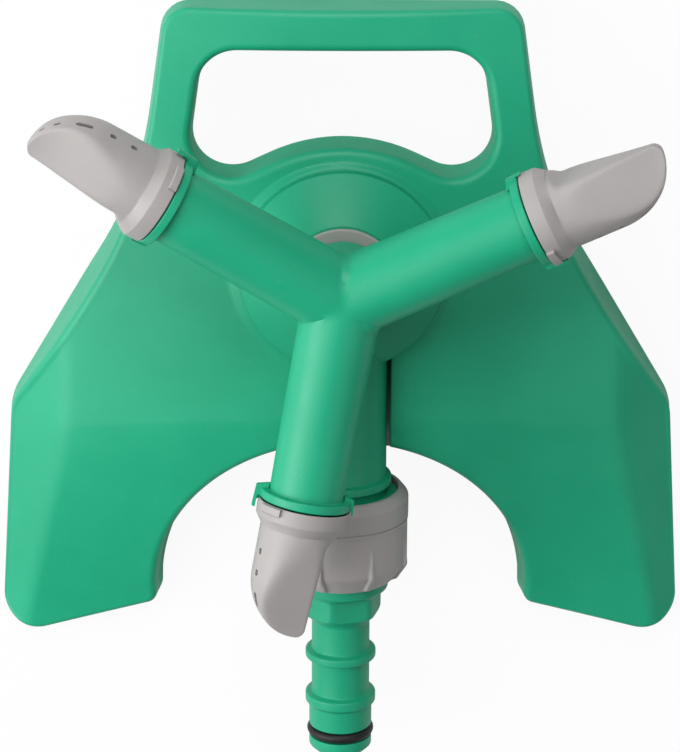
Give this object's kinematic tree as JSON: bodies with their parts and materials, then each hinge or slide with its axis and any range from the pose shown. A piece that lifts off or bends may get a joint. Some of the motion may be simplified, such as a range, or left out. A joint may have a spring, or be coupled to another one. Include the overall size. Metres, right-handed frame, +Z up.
{
  "type": "rotary sprinkler",
  "caption": "Rotary lawn sprinkler: arms with twisting nozzle caps spin on a moulded base with a carry handle and a quick-connector hose inlet.",
  "frame": {"origin": "on the ground, at the middle of the box round the whole sprinkler; the hub axis is 30.75 mm behind it, at +Y", "axes": "+Z up along the hub axis, +Y towards the carry handle, the hose inlet points along -Y"},
  "size_m": [0.165, 0.181, 0.064],
  "materials": {
    "green_plastic": "satin moulded green",
    "grey_plastic": "satin moulded warm grey",
    "white_nylon": "plain turned",
    "black_rubber": "smooth moulded",
    "screw_steel": "zinc plated"
  },
  "bodies": {
    "base": {"base_shell": "green_plastic", "water_body": "green_plastic", "bearing_ring": "grey_plastic", "inlet_nipple": "green_plastic", "nipple_o_ring": "black_rubber", "inlet_washer": "black_rubber", "body_screw_1": "screw_steel", "body_screw_2": "screw_steel", "body_screw_3": "screw_steel", "body_screw_4": "screw_steel"},
    "spinner": {"rotor": "green_plastic", "rotor_stem": "white_nylon", "stem_o_ring": "black_rubber", "thrust_washer": "white_nylon", "nozzle_o_ring_1": "black_rubber", "nozzle_o_ring_2": "black_rubber", "nozzle_o_ring_3": "black_rubber"},
    "cap_1": {"nozzle_cap_1": "grey_plastic"},
    "cap_2": {"nozzle_cap_2": "grey_plastic"},
    "cap_3": {"nozzle_cap_3": "grey_plastic"},
    "nut": {"hose_nut": "grey_plastic"}
  },
  "joints": [
    {"name": "rotor_spin", "type": "hinge", "parent": "base", "child": "spinner", "pos_m": [0, 0.03075, 0.0465], "axis": [0, 0, 1], "continuous": true},
    {"name": "nozzle_twist_1", "type": "hinge", "parent": "spinner", "child": "cap_1", "pos_m": [0, 0.03075, 0.0465], "axis": [-0.89, -0.4341, -0.1392], "range_deg": [-18, 108]},
    {"name": "nozzle_twist_2", "type": "hinge", "parent": "spinner", "child": "cap_2", "pos_m": [0, 0.03075, 0.0465], "axis": [0.8398, -0.5248, -0.1392], "range_deg": [-18, 108]},
    {"name": "nozzle_twist_3", "type": "hinge", "parent": "spinner", "child": "cap_3", "pos_m": [0, 0.03075, 0.0465], "axis": [0.1805, 0.9737, -0.1392], "range_deg": [-18, 108]},
    {"name": "hose_nut_turn", "type": "hinge", "parent": "base", "child": "nut", "pos_m": [0, -0.0337, 0.021], "axis": [0, -1, 0], "range_deg": [0, 360]}
  ]
}
